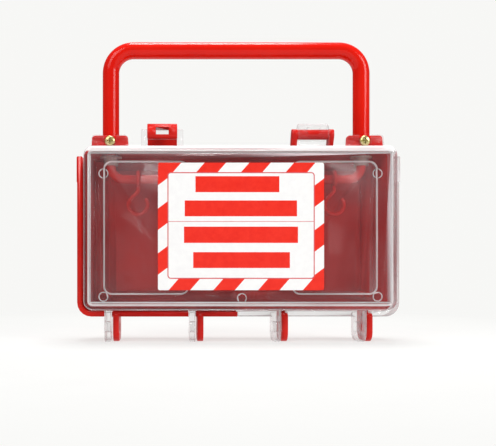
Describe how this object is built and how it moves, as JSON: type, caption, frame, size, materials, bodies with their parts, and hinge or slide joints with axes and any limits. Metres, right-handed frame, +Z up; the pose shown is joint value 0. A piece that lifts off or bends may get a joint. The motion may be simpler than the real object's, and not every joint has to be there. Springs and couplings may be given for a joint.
{
  "type": "portable group lockout box",
  "caption": "Flat lockout box: clear swing-up cover on a red base, tubular carry handle, padlock ears along the bottom, and a rail with hooks for keys inside.",
  "frame": {"origin": "on the floor, below the middle of the box, on the plane where the two shells meet", "axes": "+X to the right along the box's length, +Y from the clear cover to the red base, +Z up"},
  "size_m": [0.241, 0.0566, 0.2278],
  "materials": {
    "clear_plastic": "clear moulded polycarbonate, glossy",
    "red_plastic": "moulded red plastic, satin gloss",
    "red_paint": "gloss red powder coat on steel",
    "zinc_yellow": "yellow passivated zinc plating on steel",
    "bright_zinc": "bright zinc plating on steel",
    "nylon": "natural nylon",
    "label_vinyl": null
  },
  "bodies": {
    "base": {"base_shell": "red_plastic", "handle_tube": "red_paint", "key_rail": "red_paint", "handle_screw_left": "zinc_yellow", "handle_screw_right": "zinc_yellow", "handle_saddle_left": "nylon", "handle_saddle_right": "nylon", "clamp_plate_left": "bright_zinc", "clamp_plate_right": "bright_zinc", "handle_nut_left": "zinc_yellow", "handle_nut_right": "zinc_yellow", "rail_collar_left": "nylon", "rail_collar_right": "nylon", "tube_insert_left": "nylon", "tube_insert_right": "nylon"},
    "cover": {"cover_shell": "clear_plastic", "label_sheet": "label_vinyl"},
    "hook_1": {"key_hook_1": "red_paint"},
    "hook_2": {"key_hook_2": "red_paint"},
    "hook_3": {"key_hook_3": "red_paint"},
    "hook_4": {"key_hook_4": "red_paint"}
  },
  "joints": [
    {"name": "cover_hinge", "type": "hinge", "parent": "base", "child": "cover", "pos_m": [0, 0, 0.1552], "axis": [-1, 0, 0], "range_deg": [0, 58]},
    {"name": "hook_1_swing", "type": "hinge", "parent": "base", "child": "hook_1", "pos_m": [-0.07515, 0.0108, 0.1227], "axis": [1, 0, 0], "range_deg": [-35, 25]},
    {"name": "hook_2_swing", "type": "hinge", "parent": "base", "child": "hook_2", "pos_m": [-0.02505, 0.0108, 0.1227], "axis": [1, 0, 0], "range_deg": [-35, 25]},
    {"name": "hook_3_swing", "type": "hinge", "parent": "base", "child": "hook_3", "pos_m": [0.02505, 0.0108, 0.1227], "axis": [1, 0, 0], "range_deg": [-35, 25]},
    {"name": "hook_4_swing", "type": "hinge", "parent": "base", "child": "hook_4", "pos_m": [0.07515, 0.0108, 0.1227], "axis": [1, 0, 0], "range_deg": [-35, 25]}
  ]
}
